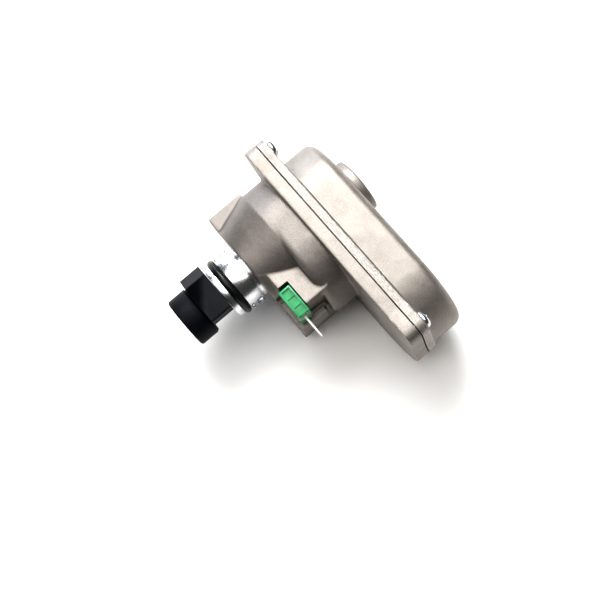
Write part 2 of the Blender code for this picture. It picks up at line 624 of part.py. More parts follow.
front_housing()
rear_cover()
cover_gasket()
for index, place in enumerate(SCREW_PLACES, 1):
    pan_screw(f"cover_screw_{index}", *place, FLANGE_REAR, 3.9, 2.5, 1.9, -4.2, "bright_zinc")
nose_pieces()
shaft_pieces()
gear_train()
inner_frame()
electrics()
terminal()
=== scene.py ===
# %% [markdown]
# # A motorised actuator head
#
# This lesson dresses a finished engineering model of an actuator head: a cast two-part housing, a
# plated nose with a sealing ring, a black drive block and a green terminal plug. The model of
# every working piece already exists. We load it as a fixed frame, build finer pieces over the
# ones that show, and give every piece a finish made of nodes.

# %% Load the frame
import json
import math

import bmesh
import bpy
from mathutils import Matrix, Vector


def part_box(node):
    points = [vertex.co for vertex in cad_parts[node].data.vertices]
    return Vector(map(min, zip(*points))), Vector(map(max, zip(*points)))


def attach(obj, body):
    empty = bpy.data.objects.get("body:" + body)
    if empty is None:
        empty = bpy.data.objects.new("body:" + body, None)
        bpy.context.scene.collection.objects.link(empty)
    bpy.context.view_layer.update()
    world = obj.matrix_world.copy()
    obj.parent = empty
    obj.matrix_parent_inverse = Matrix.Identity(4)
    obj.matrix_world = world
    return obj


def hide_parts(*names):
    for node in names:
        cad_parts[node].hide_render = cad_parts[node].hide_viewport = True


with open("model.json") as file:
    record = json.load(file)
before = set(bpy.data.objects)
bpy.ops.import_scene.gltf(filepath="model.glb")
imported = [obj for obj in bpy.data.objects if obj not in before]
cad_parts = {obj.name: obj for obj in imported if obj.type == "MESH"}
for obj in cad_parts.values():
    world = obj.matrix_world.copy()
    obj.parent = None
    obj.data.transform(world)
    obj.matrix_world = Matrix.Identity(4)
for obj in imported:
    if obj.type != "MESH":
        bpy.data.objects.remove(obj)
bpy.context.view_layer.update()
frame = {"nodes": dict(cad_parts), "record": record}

# %% [markdown]
# ## Where things are
#
# The head is laid out from two lines: the output shaft's axis, and the joint between the two
# halves of the housing. Sizes below are in millimetres from those, with x along the flange
# towards the motor, y towards the rear cover and z up. We read both lines from the frame, so a
# piece always lands where the engineering model has it.

# %% The layout's origin
MM = 0.001
shaft_low, shaft_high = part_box("output_shaft")
AXIS_X = (shaft_low.x + shaft_high.x) / 2
AXIS_Z = (shaft_low.z + shaft_high.z) / 2
JOINT_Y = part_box("front_housing")[1].y


def at(x, y, z):
    """A place in the layout (mm) as a place in the world (m)."""
    return Vector((AXIS_X + x * MM, JOINT_Y + y * MM, AXIS_Z + z * MM))


def layout(point):
    """A place in the world as a place in the layout."""
    return ((point.x - AXIS_X) / MM, (point.y - JOINT_Y) / MM, (point.z - AXIS_Z) / MM)


print("output axis", round(AXIS_X, 5), round(AXIS_Z, 5), "joint", round(JOINT_Y, 5))

# %% [markdown]
# ## The camera
#
# A small object on a table is seen from well above, with a long lens so that its far end doesn't
# shrink. A Track To constraint could aim the camera, but it always keeps the horizon level, and
# this view is rolled a little. So we say where the view's right and upper sides point, and work
# its rotation out from them.

# %% Camera
CAMERA_PLACE = (144.3, -46.3, 501.6)       # in the layout
CAMERA_RIGHT = Vector((0.634, 0.764, -0.121))
CAMERA_UP = Vector((-0.738, 0.644, 0.201))
CAMERA_LENS = 72.0


def camera_turn(right, up):
    """The camera's rotation from the directions of its right and upper sides."""
    right = right.normalized()
    back = right.cross(up).normalized()
    up = back.cross(right)
    return Matrix((right, up, back)).transposed().to_euler()


bpy.ops.object.camera_add(location=at(*CAMERA_PLACE),
                          rotation=camera_turn(CAMERA_RIGHT, CAMERA_UP))
camera = bpy.context.object
camera.name = "camera"
camera.data.lens = CAMERA_LENS
camera.data.clip_start = 0.01
bpy.context.scene.camera = camera
print("camera", round(camera.location.z, 3), "m above the floor, lens", CAMERA_LENS, "mm")

# %% [markdown]
# ## Floor and light
#
# The floor is a large pale sheet, a hair below the object so that the two never share a plane. A
# soft key light stands behind the housing's left end, a very large one hangs above it, a weak
# cool one skims in low from the left, and one in front lifts the sloping nose. A bright world
# would be simpler, but it leaves polished metal nothing dark to mirror, so ours stays dark.

# %% Floor
FLOOR_SIZE, FLOOR_DROP = 4.0, 0.0004       # metres
bpy.ops.mesh.primitive_plane_add(size=FLOOR_SIZE, location=(0, 0, -FLOOR_DROP))
floor = bpy.context.object
floor.name = "floor"
print("floor", FLOOR_SIZE, "m wide")

# %% Lights
MIDDLE = Vector((0.0, 0.0, 0.03))


def soft_light(name, place, width, power, colour):
    """A square area light that faces the middle of the object."""
    bpy.ops.object.light_add(type="AREA", location=place)
    light = bpy.context.object
    light.name = name
    light.data.size = width
    light.data.energy = power
    light.data.color = colour
    light.rotation_euler = (MIDDLE - Vector(place)).to_track_quat("-Z", "Y").to_euler()
    print(name, "light,", width, "m wide,", power, "W")


soft_light("key", (-0.50, 0.24, 0.66), 0.44, 5.5, (0.98, 0.99, 1.0))
soft_light("sky", (-0.20, 0.20, 1.10), 1.4, 10.5, (1.0, 0.99, 0.975))
soft_light("rim", (-0.80, 0.10, 0.20), 0.30, 1.3, (0.78, 0.85, 1.0))
soft_light("front", (-0.22, -0.67, 0.88), 0.60, 2.2, (1.0, 0.98, 0.95))

# %% Surroundings, and how the picture is developed
world = bpy.data.worlds.new("studio")
world.use_nodes = True
surroundings = world.node_tree.nodes["Background"].inputs
surroundings["Color"].default_value = (1.0, 0.97, 0.93, 1)
surroundings["Strength"].default_value = 0.06
bpy.context.scene.world = world
developing = bpy.context.scene.view_settings
developing.view_transform = "Standard"
developing.look = "High Contrast"
print("world strength", round(surroundings["Strength"].default_value, 3), developing.look)

# %% [markdown]
# ## Writing finishes as arithmetic
#
# A finish can be wired by hand in the shader editor, but it is easier to read, and to change, as
# sums. `Value` wraps one socket, and its operators add Math nodes. `Finish` holds one material:
# `node` adds any other node, with its settings first and its sockets after, `fix` sets a constant
# on the shader and `feed` links something that changes over the surface.

# %% A socket that can be added and multiplied
class Value:
    """One output socket that Python's arithmetic works on."""

    def __init__(self, finish, socket):
        self.finish, self.socket = finish, socket

    def _math(self, operation, first, second):
        return self.finish.node("ShaderNodeMath", {"operation": operation},
                                {0: first, 1: second})

    def __add__(self, other):
        return self._math("ADD", self, other)

    def __sub__(self, other):
        return self._math("SUBTRACT", self, other)

    def __rsub__(self, other):
        return self._math("SUBTRACT", other, self)

    def __mul__(self, other):
        return self._math("MULTIPLY", self, other)

    __radd__, __rmul__ = __add__, __mul__

    def above(self, edge, soft):
        """0 below the edge, 1 above it, with a soft step between."""
        return self.finish.node("ShaderNodeMapRange", {"interpolation_type": "SMOOTHSTEP"},
                                {"Value": self, "From Min": edge - soft / 2,
                                 "From Max": edge + soft / 2})


# %% A material that is built up node by node
class Finish:
    """One material, built by adding nodes to its Principled shader."""

    def __init__(self, name):
        self.material = bpy.data.materials.new(name)
        self.material.use_nodes = True
        self.tree = self.material.node_tree
        self.shader = self.tree.nodes["Principled BSDF"]
        self.place = self.node("ShaderNodeTexCoord", output="Object")

    def node(self, kind, settings=None, inputs=None, output=0):
        """Add a node: settings first, then its sockets; returns one output."""
        made = self.tree.nodes.new(kind)
        for name, setting in (settings or {}).items():
            setattr(made, name, setting)
        for name, value in (inputs or {}).items():
            self._join(made.inputs[name], value)
        return Value(self, made.outputs[output])

    def _join(self, socket, value):
        if isinstance(value, Value):
            self.tree.links.new(value.socket, socket)
        else:
            socket.default_value = value

    def fix(self, **constants):
        """Set constants on the shader; underscores stand for spaces in socket names."""
        for name, value in constants.items():
            self.shader.inputs[name.replace("_", " ")].default_value = value

    def feed(self, name, value):
        """Link something that changes over the surface to a socket of the shader."""
        self._join(self.shader.inputs[name], value)

    def noise(self, size, detail=3.0, roughness=0.55, stretch=None):
        """Soft noise whose features are about `size` millimetres."""
        place = self.place
        if stretch:
            place = self.node("ShaderNodeMapping", {}, {"Vector": place, "Scale": stretch})
        return self.node("ShaderNodeTexNoise", {},
                         {"Vector": place, "Scale": 1 / (size * MM), "Detail": detail,
                          "Roughness": roughness})

    def blend(self, mask, first, second):
        """Mix two colours by a mask from 0 to 1."""
        mixed = self.node("ShaderNodeMix", {"data_type": "RGBA"}, {}, output=2)
        factor, colour_a, colour_b = 0, 6, 7       # the colour sockets of a Mix node
        sockets = mixed.socket.node.inputs
        self._join(sockets[factor], mask)
        for number, colour in ((colour_a, first), (colour_b, second)):
            self._join(sockets[number], colour if isinstance(colour, Value) else (*colour, 1))
        return mixed

    def bump(self, height, depth, below=None):
        """Relief of `depth` millimetres for a height from 0 to 1."""
        inputs = {"Height": height, "Distance": depth * MM, "Strength": 1.0}
        if below:
            inputs["Normal"] = below
        return self.node("ShaderNodeBump", {}, inputs)

    def axis(self, letter):
        """The layout coordinate x, y or z of the surface, in millimetres."""
        origin = {"X": AXIS_X, "Y": JOINT_Y, "Z": AXIS_Z}[letter]
        split = self.node("ShaderNodeSeparateXYZ", {}, {"Vector": self.place}, output=letter)
        return (split - origin) * (1 / MM)


# %% [markdown]
# ## Cast alloy
#
# Die-cast alloy is never one flat grey. The skin that touched the die has a fine grain and
# cloudy patches a few millimetres wide. A picture of such metal would have to be unwrapped onto
# each casting and would show its seams. Noise in object coordinates needs no unwrapping, so we
# add up three sizes of it.
#
# The front half is darker, apart from its flange and the top of the terminal block, which are
# lighter. The rear half has a rim that handling has scratched, where the lines run round the edge.

# %% Alloy tones, and where the front half is bright
BRIGHT_ALLOY = (0.24, 0.22, 0.20), (0.40, 0.37, 0.34)
DARK_ALLOY = (0.175, 0.160, 0.148), (0.29, 0.267, 0.248)
SCRATCHED_ALLOY = (0.28, 0.26, 0.24), (0.48, 0.455, 0.425)
SCRATCHED_RIM = (0.5, 4.5)                 # the y range of the rear flange's edge
FLANGE_FRONT = -5.6
TERMINAL_LEFT, TERMINAL_REAR, TERMINAL_TOP = 6.0, -14.6, 18.5


def front_bright(made):
    """Where the front half is bright: its flange, and the top of the terminal block."""
    x, y, z = made.axis("X"), made.axis("Y"), made.axis("Z")
    level = z.above(TERMINAL_TOP - 0.3, 0.2) * (1 - z.above(TERMINAL_TOP + 0.3, 0.2))
    top = level * x.above(TERMINAL_LEFT - 1.0, 1.0)
    return y.above(FLANGE_FRONT - 0.3, 0.4) + top * (1 - y.above(TERMINAL_REAR + 0.6, 1.0))


# %% Cast alloy
def cast_alloy(name, tones, bright=None, scratched=None):
    """As-cast aluminium in two tones.

    `bright` makes a mask where it is bright, and `scratched` is the y range of a scratched rim.
    """
    made = Finish(name)
    cloud = made.noise(9.0, detail=4.0)
    grain = made.noise(0.55, detail=2.0, roughness=0.7)
    speck = made.noise(2.2, detail=3.0, roughness=0.6)
    shade = cloud.above(0.5, 0.5) * 0.45 + speck * 0.25 + grain.above(0.5, 0.3) * 0.3
    colour = made.blend(shade, *tones)
    if bright:
        colour = made.blend(bright(made), colour, made.blend(shade, *BRIGHT_ALLOY))
    rough = 0.38 + grain * 0.10 + cloud * 0.10
    relief = made.bump(grain * 0.6 + speck * 0.4, depth=0.16)
    if scratched:
        y = made.axis("Y")
        mask = y.above(scratched[0], 0.2) * (1 - y.above(scratched[1], 0.2))
        lines = made.noise(0.35, detail=2.0, roughness=0.6, stretch=(0.04, 1.0, 0.04))
        scratch = made.noise(0.8, detail=4.0, roughness=0.75, stretch=(0.6, 1.0, 0.6))
        scratch = scratch.above(0.5, 0.3)
        colour = made.blend(mask * 0.8, colour, made.blend(scratch, *SCRATCHED_ALLOY))
        rough = rough - mask * 0.06
        relief = made.bump((lines + scratch) * mask, depth=0.06, below=relief)
    made.feed("Base Color", colour)
    made.feed("Roughness", rough)
    made.feed("Normal", relief)
    made.fix(Metallic=0.72)
    return made.material


# %% [markdown]
# ## Plated and turned metal, rubber and plastic
#
# Plating takes its look from what it mirrors, so it has two close greys, a low roughness and very
# little relief. A turned piece shows fine rings about its axis. An anisotropic shader could draw
# them, but its direction isn't kept when a model is exported. Noise that is drawn out along x and
# z, and stays fine along y, gives rings as relief instead.
#
# Moulded plastic and rubber have a faint grain and large soft patches of a second tone.

# %% Metals and mouldings
def metal(name, colour, stained, rough, rings=0.0, grain=0.015):
    """A machined metal with a little staining, and relief as rings about y or as plain grain."""
    made = Finish(name)
    stain = made.noise(3.5, detail=4.0)
    lines = made.noise(0.25, detail=2.0, roughness=0.6,
                       stretch=(0.05, 1.0, 0.05) if rings else None)
    made.feed("Base Color", made.blend(stain.above(0.55, 0.4), colour, stained))
    made.feed("Roughness", rough + stain * rough * 0.5)
    made.feed("Normal", made.bump(lines, depth=rings or grain))
    made.fix(Metallic=1.0)
    return made.material


def moulding(name, colour, faded, rough, grain=0.02, size=0.4, **constants):
    """Moulded plastic or rubber: faint grain, and patches of a second tone."""
    made = Finish(name)
    patch = made.noise(6.0, detail=3.0)
    fine = made.noise(size, detail=2.0, roughness=0.7)
    made.feed("Base Color", made.blend(patch.above(0.5, 0.5), colour, faded))
    made.feed("Roughness", rough + fine * 0.12)
    made.feed("Normal", made.bump(fine, depth=grain))
    made.fix(**constants)
    return made.material


# %% The metal finishes
FINISHES = {
    "cast_alloy": cast_alloy("cast_alloy", DARK_ALLOY, bright=front_bright),
    "cover_alloy": cast_alloy("cover_alloy", BRIGHT_ALLOY, scratched=SCRATCHED_RIM),
    "zinc_plate": metal("zinc_plate", (0.74, 0.75, 0.77), (0.58, 0.60, 0.62), 0.2),
    "chrome": metal("chrome", (0.84, 0.85, 0.87), (0.66, 0.68, 0.70), 0.19, rings=0.0007),
    "steel": metal("steel", (0.60, 0.60, 0.61), (0.45, 0.45, 0.46), 0.28, rings=0.012),
    "brass": metal("brass", (0.74, 0.56, 0.27), (0.55, 0.40, 0.18), 0.28, rings=0.012),
}
print("metals:", ", ".join(FINISHES))

# %% The rubber, plastic and board finishes
MOULDINGS = {
    "black_rubber": moulding("black_rubber", (0.008, 0.008, 0.009), (0.014, 0.014, 0.015), 0.24,
                             grain=0.004, Specular_IOR_Level=0.4),
    "black_plastic": moulding("black_plastic", (0.003, 0.004, 0.006), (0.007, 0.008, 0.012),
                              0.42, grain=0.06, size=0.5, Specular_IOR_Level=0.16),
    "white_plastic": moulding("white_plastic", (0.82, 0.82, 0.79), (0.74, 0.73, 0.69), 0.35),
    "green_plastic": moulding("green_plastic", (0.006, 0.20, 0.06), (0.03, 0.34, 0.13), 0.2,
                              grain=0.01, Coat_Weight=0.3),
    "gasket_fibre": moulding("gasket_fibre", (0.055, 0.048, 0.042), (0.09, 0.08, 0.07), 0.85),
    "board_laminate": moulding("board_laminate", (0.02, 0.20, 0.08), (0.03, 0.26, 0.11), 0.4),
    "blue_sleeve": moulding("blue_sleeve", (0.04, 0.10, 0.42), (0.06, 0.14, 0.5), 0.4),
}
FINISHES.update(MOULDINGS)
print("mouldings:", ", ".join(MOULDINGS))

# %% Every node of the frame takes its slot's finish
slot_of = {entry["node"]: entry["material_slot"] for entry in frame["record"]["subparts"]}
for node_name, node in frame["nodes"].items():
    node.data.materials.clear()
    node.data.materials.append(FINISHES[slot_of[node_name]])
print(len(FINISHES), "finishes on", len(frame["nodes"]), "nodes")

# %% [markdown]
# ## Modelling by hand, written down
#
# These few helpers do what a modeller does with the mouse: deselect all, pick faces or points by
# where they are, and run one operator on them. Faces could be listed by number, but the numbers
# change as soon as anything is cut or bevelled, and places don't. Every piece starts as a
# primitive in its place. When it is finished, its object stands at the origin and its place is in
# its mesh.

# %% Selecting
def only(obj):
    """Select one object and nothing else."""
    bpy.ops.object.select_all(action="DESELECT")
    obj.select_set(True)
    bpy.context.view_layer.objects.active = obj


def pick(obj, kind, test):
    """Enter edit mode with the VERT or FACE items selected that pass a test.

    The test gets the item's middle in the layout, and the item.
    """
    only(obj)
    bpy.ops.object.mode_set(mode="EDIT")
    bpy.ops.mesh.select_mode(type=kind)
    bpy.ops.mesh.select_all(action="DESELECT")
    shape = bmesh.from_edit_mesh(obj.data)
    for item in shape.verts if kind == "VERT" else shape.faces:
        middle = item.co if kind == "VERT" else item.calc_center_median()
        item.select_set(test(layout(middle), item))
    bmesh.update_edit_mesh(obj.data)


def leave():
    """Go back to object mode."""
    bpy.ops.object.mode_set(mode="OBJECT")


# %% Bodies to start from
def named(name):
    """Name the new primitive and put its place into its mesh."""
    obj = bpy.context.object
    obj.name = obj.data.name = name
    only(obj)
    bpy.ops.object.transform_apply(location=True, rotation=True, scale=True)
    return obj


def bar(name, radius, y_front, y_rear, x=0.0, z=0.0, sides=96):
    """A round bar along y, turned by half a facet so that its top and bottom are flat."""
    bpy.ops.mesh.primitive_cylinder_add(
        vertices=sides, radius=radius * MM, depth=(y_rear - y_front) * MM,
        location=at(x, (y_front + y_rear) / 2, z),
        rotation=(math.radians(90), math.pi / sides, 0))
    return named(name)


def slab(name, radius, x_end, y_front, y_rear):
    """A plate with round ends: a bar whose right half is moved along."""
    plate = bar(name, radius, y_front, y_rear, sides=128)
    pick(plate, "VERT", lambda p, v: p[0] > 0)
    bpy.ops.transform.translate(value=(x_end * MM, 0, 0))
    leave()
    return plate


def block(name, x, y, z):
    """A box from its ranges along x, y and z."""
    middle = [sum(r) / 2 for r in (x, y, z)]
    bpy.ops.mesh.primitive_cube_add(size=1, location=at(*middle))
    cube = bpy.context.object
    cube.scale = [(r[1] - r[0]) * MM for r in (x, y, z)]
    return named(name)


def turned(name, steps, x=0.0, z=0.0, sides=96):
    """A turned piece: a bar, whose front face is extruded and resized for each further step.

    Steps are (radius, y), from the rear to the front.
    """
    (radius, rear), (_, front) = steps[0], steps[1]
    piece = bar(name, radius, front, rear, x, z, sides)
    pick(piece, "FACE", lambda p, f: f.normal.y < -0.9)
    last_radius, last_y = radius, front
    for radius, y in steps[1:]:
        bpy.ops.mesh.extrude_region_move(
            TRANSFORM_OT_translate={"value": (0, (y - last_y) * MM, 0)})
        grow = radius / last_radius
        bpy.ops.transform.resize(value=(grow, 1, grow), center_override=at(x, y, z))
        last_radius, last_y = radius, y
    leave()
    return piece


# %% Joining, cutting and rounding
def fit(obj, kind, **settings):
    """Add a modifier and apply it."""
    modifier = obj.modifiers.new(kind.lower(), kind)
    for name, setting in settings.items():
        setattr(modifier, name, setting)
    only(obj)
    bpy.ops.object.modifier_apply(modifier=modifier.name)


def combine(body, operation, *others):
    """Add others to a body, or cut them out of it; they are used up."""
    for other in others:
        fit(body, "BOOLEAN", operation=operation, solver="MANIFOLD", object=other)
        bpy.data.objects.remove(other)


def gather(name, *bodies):
    """Put overlapping bodies into one object."""
    bpy.ops.object.select_all(action="DESELECT")
    for body in bodies:
        body.select_set(True)
    bpy.context.view_layer.objects.active = bodies[0]
    bpy.ops.object.join()
    bodies[0].name = bodies[0].data.name = name
    return bodies[0]


def hull(name, rounds, y_front, y_rear):
    """The tight skin round a few bars along y, given as (x, z, radius)."""
    bars = [bar(name, r, y_front, y_rear, x, z, sides=48) for x, z, r in rounds]
    body = gather(name, *bars)
    pick(body, "VERT", lambda p, v: True)
    bpy.ops.mesh.convex_hull()
    leave()
    return body


def rounded(obj, width, segments=3, angle=50):
    """Round the edges that are sharper than the angle."""
    fit(obj, "BEVEL", width=width * MM, segments=segments, limit_method="ANGLE",
        angle_limit=math.radians(angle))


# %% Finishing a piece
def shade(obj, angle):
    """Shade smooth across the edges that are blunter than the angle."""
    only(obj)
    bpy.ops.object.shade_smooth_by_angle(angle=math.radians(angle))


def finish_piece(obj, node_name, body, slot, material=None):
    """Give a finished piece its material and its body, and hide the node that it stands for."""
    obj.data.materials.clear()
    obj.data.materials.append(material or FINISHES[slot])
    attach(obj, body)
    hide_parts(node_name)
    obj.data.calc_loop_triangles()
    print(obj.name, len(obj.data.loop_triangles), "triangles")


# %% [markdown]
# ## The two castings
#
# A die casting has no sharp outer edge and no sharp inner corner. Bevels could round both, but
# where a cone meets a box they run into each other and tear. Instead, simple bodies are laid over
# each other, one voxel remesh gives them a single skin, and smoothing rounds what was sharp. The
# cavities are cut afterwards, so that machined and cored faces stay crisp.
#
# Both halves share one flange: a plate with round ends, and corners that carry three of the four
# screws. The fourth screw has no corner. It stands inside the outline, in a post of its own.

# %% Sizes shared by both halves
FLANGE_R, MOTOR_X = 27.7, 50.0
EAR_R, EAR_Z = 5.5, 23.0
EAR_LEFT, EAR_RIGHT = -28.0, 69.5
LOWER_SCREW = (16.0, -23.0)
SCREWS = [(EAR_LEFT, EAR_Z), (EAR_RIGHT, EAR_Z), (EAR_LEFT, -EAR_Z), LOWER_SCREW]
CAVITY_R = 23.0
print("screws at", SCREWS)


# %% The flange of one half
STRAIGHT_LEFT, STRAIGHT_RIGHT = -18.0, 60.0    # where the upper side runs into its ears
STRAIGHT_Z = 27.4
CORNER_R = 0.3                                 # a thin bar that marks a corner of the skin


def flange(y_front, y_rear):
    """A plate with round ends, two boxes that keep its long sides straight, and three ears."""
    plates = [slab("flange", FLANGE_R, MOTOR_X, y_front, y_rear),
              block("flange", (STRAIGHT_LEFT, STRAIGHT_RIGHT), (y_front, y_rear), (0.0, FLANGE_R)),
              block("flange", (STRAIGHT_LEFT, MOTOR_X), (y_front, y_rear), (-FLANGE_R, 0.0))]
    upper_left = [(EAR_LEFT, EAR_Z, EAR_R), (-26.9, 5.7, CORNER_R),
                  (STRAIGHT_LEFT, STRAIGHT_Z, CORNER_R), (-5.0, 5.0, CORNER_R)]
    lower_left = [(x, -z, r) for x, z, r in upper_left]
    upper_right = [(EAR_RIGHT, EAR_Z, EAR_R), (STRAIGHT_RIGHT, STRAIGHT_Z, CORNER_R),
                   (76.0, 8.6, CORNER_R), (55.0, 8.0, CORNER_R)]
    ears = [hull("flange", rounds, y_front, y_rear)
            for rounds in (upper_left, lower_left, upper_right)]
    return plates + ears


# %% One skin over many bodies, and the space inside
VOXEL = 0.45
SOFTENING = 4                              # rounds of smoothing
KEPT = 0.45                                # share of the triangles that decimation keeps


def cast(name, bodies):
    """One skin over overlapping bodies, with every edge and corner softened."""
    body = gather(name, *bodies)
    fit(body, "REMESH", mode="VOXEL", voxel_size=VOXEL * MM)
    fit(body, "SMOOTH", factor=0.5, iterations=SOFTENING)
    fit(body, "DECIMATE", ratio=KEPT)
    return body


def hollow(x_end, radius, y_front, y_rear, post, edge=0.0):
    """The space inside a half, with the lower screw's post left standing."""
    space = slab("hollow", radius, x_end, y_front, y_rear)
    if edge:
        rounded(space, edge)
    x, z = LOWER_SCREW
    combine(space, "DIFFERENCE", bar("post", post, y_front - 1, y_rear + 1, x, z, sides=48))
    return space


# %% [markdown]
# ## The front casting
#
# Behind the nose, a round turret widens like a funnel into a drum. The drum is longer than it is
# high, because the circuit board in it runs past the shaft towards the motor. A lug stands on the
# left. On the right is the terminal block: an upper box with an open pocket for the plug, a
# longer lower box under it, and a low rail at the pocket's outer foot. Each is one primitive
# here, and the shared skin does the blending that would take long to model by hand.

# %% The front casting's outside
DRUM_R, DRUM_X, DRUM_FRONT, DRUM_ROUND = 26.3, 12.5, -18.5, 3.0
NOSE, NOSE_R = -34.8, 20.6
TURRET_REAR = -17.4
ROOT = -0.8                                # how far these bodies reach into the flange
BEHIND_NOSE = NOSE + 0.2                   # the lug and the block end just behind the nose
drum = slab("drum", DRUM_R, DRUM_X, DRUM_FRONT, ROOT)
rounded(drum, DRUM_ROUND, segments=5)
turret = turned("turret", [(DRUM_R, ROOT), (DRUM_R, TURRET_REAR), (NOSE_R, NOSE)])
lug = block("lug", x=(-28.0, -12.0), y=(BEHIND_NOSE, DRUM_FRONT + 2), z=(-14.0, 5.0))
upper_block = block("upper_block", x=(TERMINAL_LEFT, 32.2), y=(-31.3, TERMINAL_REAR),
                    z=(-8.0, TERMINAL_TOP))
lower_block = block("lower_block", x=(TERMINAL_LEFT, 34.4), y=(BEHIND_NOSE, -15.0),
                    z=(-23.7, 2.0))
rail = block("rail", x=(33.4, 36.8), y=(NOSE + 0.5, -20.5), z=(-8.0, 2.2))
front = cast("front_casting", flange(FLANGE_FRONT, 1.5)
             + [drum, turret, lug, upper_block, lower_block, rail])
print("front casting's skin:", len(front.data.polygons), "faces")

# %% The front casting's inside
DRUM_CAVITY_R, POST_R = 22.8, 4.8
DRUM_FLOOR, FLANGE_FLOOR = -16.3, -3.4     # how deep the drum and the flange are hollowed
spaces = [
    hollow(DRUM_X, DRUM_CAVITY_R, DRUM_FLOOR, 1, post=POST_R),
    hollow(MOTOR_X, CAVITY_R, FLANGE_FLOOR, 0.7, post=POST_R),
    bar("turret_space", 17.0, -31.0, -15.0),
    bar("nose_bore", 10.3, NOSE - 1, -30.0),
    bar("nose_recess", 13.2, NOSE - 1, NOSE + 1.2),
    block("pocket", x=(19.4, 45.0), y=(-40.0, -26.2), z=(2.3, 30.0)),
    bar("wire_passage", 2.5, -27.0, -15.0, x=25.0, z=10.0, sides=32),
]
spaces += [bar("tapped", 2.05, -4.8, 1, x, z, sides=32) for x, z in SCREWS]
spaces.append(block("joint_face", x=(-40.0, 90.0), y=(0.0, 4.0), z=(-40.0, 40.0)))
combine(front, "DIFFERENCE", *spaces)
print("front casting hollowed:", len(front.data.polygons), "faces")

# %% The front casting's seats for the gear plate and the board
PILLAR_X, PILLAR_Z = -14.3, 14.5
BOARD_SCREW_X, BOARD_SCREW_Z = -17.2, 7.0
combine(front, "UNION", *[bar("seat", 3.2, -17.0, -3.2, PILLAR_X, z, sides=48)
                          for z in (PILLAR_Z, -PILLAR_Z)])
combine(front, "DIFFERENCE", *[bar("board_hole", 1.1, -20.0, -15.0, BOARD_SCREW_X, z, sides=24)
                               for z in (BOARD_SCREW_Z, -BOARD_SCREW_Z)])
shade(front, 40)
finish_piece(front, "front_housing", "housing", "cast_alloy")

# %% [markdown]
# ## The rear cover
#
# The rear half is a deep shell over the motor and the gears, with a round boss on its back where
# the output shaft's bearing sits. It is made in the same way. The lower screw's head lies in a
# recess that cuts the shell's side. The wall is even, so the space inside has rounded edges too.

# %% The rear casting
COVER_R, COVER_X, COVER_REAR, COVER_ROUND = 25.5, 50.5, 21.0, 4.2
WALL, RECESS_R = 2.2, 5.2
BOSS_R, BOSS_X, BOSS_REAR = 12.7, 2.0, 26.0
JOINT_FACE, SEAT = 0.54, 4.4               # the flange's two faces; screw heads sit on SEAT
shell = slab("shell", COVER_R, COVER_X, 1.2, COVER_REAR)
rounded(shell, COVER_ROUND, segments=6)
combine(shell, "DIFFERENCE", bar("recess", RECESS_R, SEAT, 30.0, *LOWER_SCREW, sides=64))
boss = bar("boss", BOSS_R, 17.0, BOSS_REAR, BOSS_X)
rounded(boss, 0.8)
step = bar("boss_step", BOSS_R + 1.5, 17.0, COVER_REAR + 0.7, BOSS_X)
rear = cast("rear_casting", flange(JOINT_FACE - 1.5, SEAT) + [shell, step, boss])
combine(rear, "DIFFERENCE",
        block("joint_face", x=(-40.0, 90.0), y=(JOINT_FACE - 4.0, JOINT_FACE), z=(-40.0, 40.0)),
        hollow(MOTOR_X, CAVITY_R, -2.2, COVER_REAR - WALL, post=RECESS_R + WALL,
               edge=COVER_ROUND - WALL),
        bar("bush_seat", 6.7, 16.0, 23.4),
        *[bar("clearance", 2.3, -1, 6, x, z, sides=32) for x, z in SCREWS])
shade(rear, 40)
finish_piece(rear, "rear_cover", "housing", "cast_alloy", FINISHES["cover_alloy"])

# %% [markdown]
# ## The cover screws
#
# A pan head is a short turned dome with a cross recess that narrows towards its bottom. A bump
# could fake the recess, but it would lie flat when seen from the side, so it is cut. One screw is
# modelled, and the other three are copies with their own mesh, each turned a little differently,
# as screws are.

# %% One arm of the cross recess
HEAD_R, HEAD_TOP = 3.9, SEAT + 2.7
ARM_LENGTH, ARM_WIDTH, ARM_DEPTH = 4.2, 1.1, 1.4


def tapered_slot(angle):
    """One arm of the cross: a cube, narrower at its bottom."""
    x, z = SCREWS[0]
    arm = block("arm", x=(x - ARM_LENGTH / 2, x + ARM_LENGTH / 2),
                y=(HEAD_TOP - ARM_DEPTH, HEAD_TOP + 0.5),
                z=(z - ARM_WIDTH / 2, z + ARM_WIDTH / 2))
    pick(arm, "FACE", lambda p, f: f.normal.y < -0.9)
    bpy.ops.transform.resize(value=(0.55, 1, 0.7), center_override=at(x, 0, z))
    bpy.ops.mesh.select_all(action="SELECT")
    bpy.ops.transform.rotate(value=angle, orient_axis="Y", center_override=at(x, 0, z))
    leave()
    return arm


# %% The first screw
dome = [(1.3, 2.7), (1.3, 2.66), (2.3, 2.5), (3.0, 2.2), (3.55, 1.7), (3.85, 1.0), (HEAD_R, 0.5),
        (3.75, 0.2), (1.9, 0.2), (1.9, -8.0), (1.4, -8.6)]
screw = turned("screw_1", [(r, SEAT + y) for r, y in dome], *SCREWS[0], sides=64)
combine(screw, "DIFFERENCE", tapered_slot(0.0), tapered_slot(math.radians(90)))
shade(screw, 35)
finish_piece(screw, "cover_screw_1", "housing", "zinc_plate")

# %% The other three screws
SCREW_TURN = math.radians(31)
for number, (x, z) in enumerate(SCREWS[1:], 2):
    copy = screw.copy()
    copy.data = screw.data.copy()
    bpy.context.collection.objects.link(copy)
    copy.name = copy.data.name = f"screw_{number}"
    only(copy)
    bpy.ops.object.mode_set(mode="EDIT")
    bpy.ops.mesh.select_all(action="SELECT")
    bpy.ops.transform.rotate(value=SCREW_TURN * number, orient_axis="Y",
                             center_override=at(EAR_LEFT, 0, EAR_Z))
    bpy.ops.transform.translate(value=((x - EAR_LEFT) * MM, 0, (z - EAR_Z) * MM))
    leave()
    finish_piece(copy, f"cover_screw_{number}", "housing", "zinc_plate")

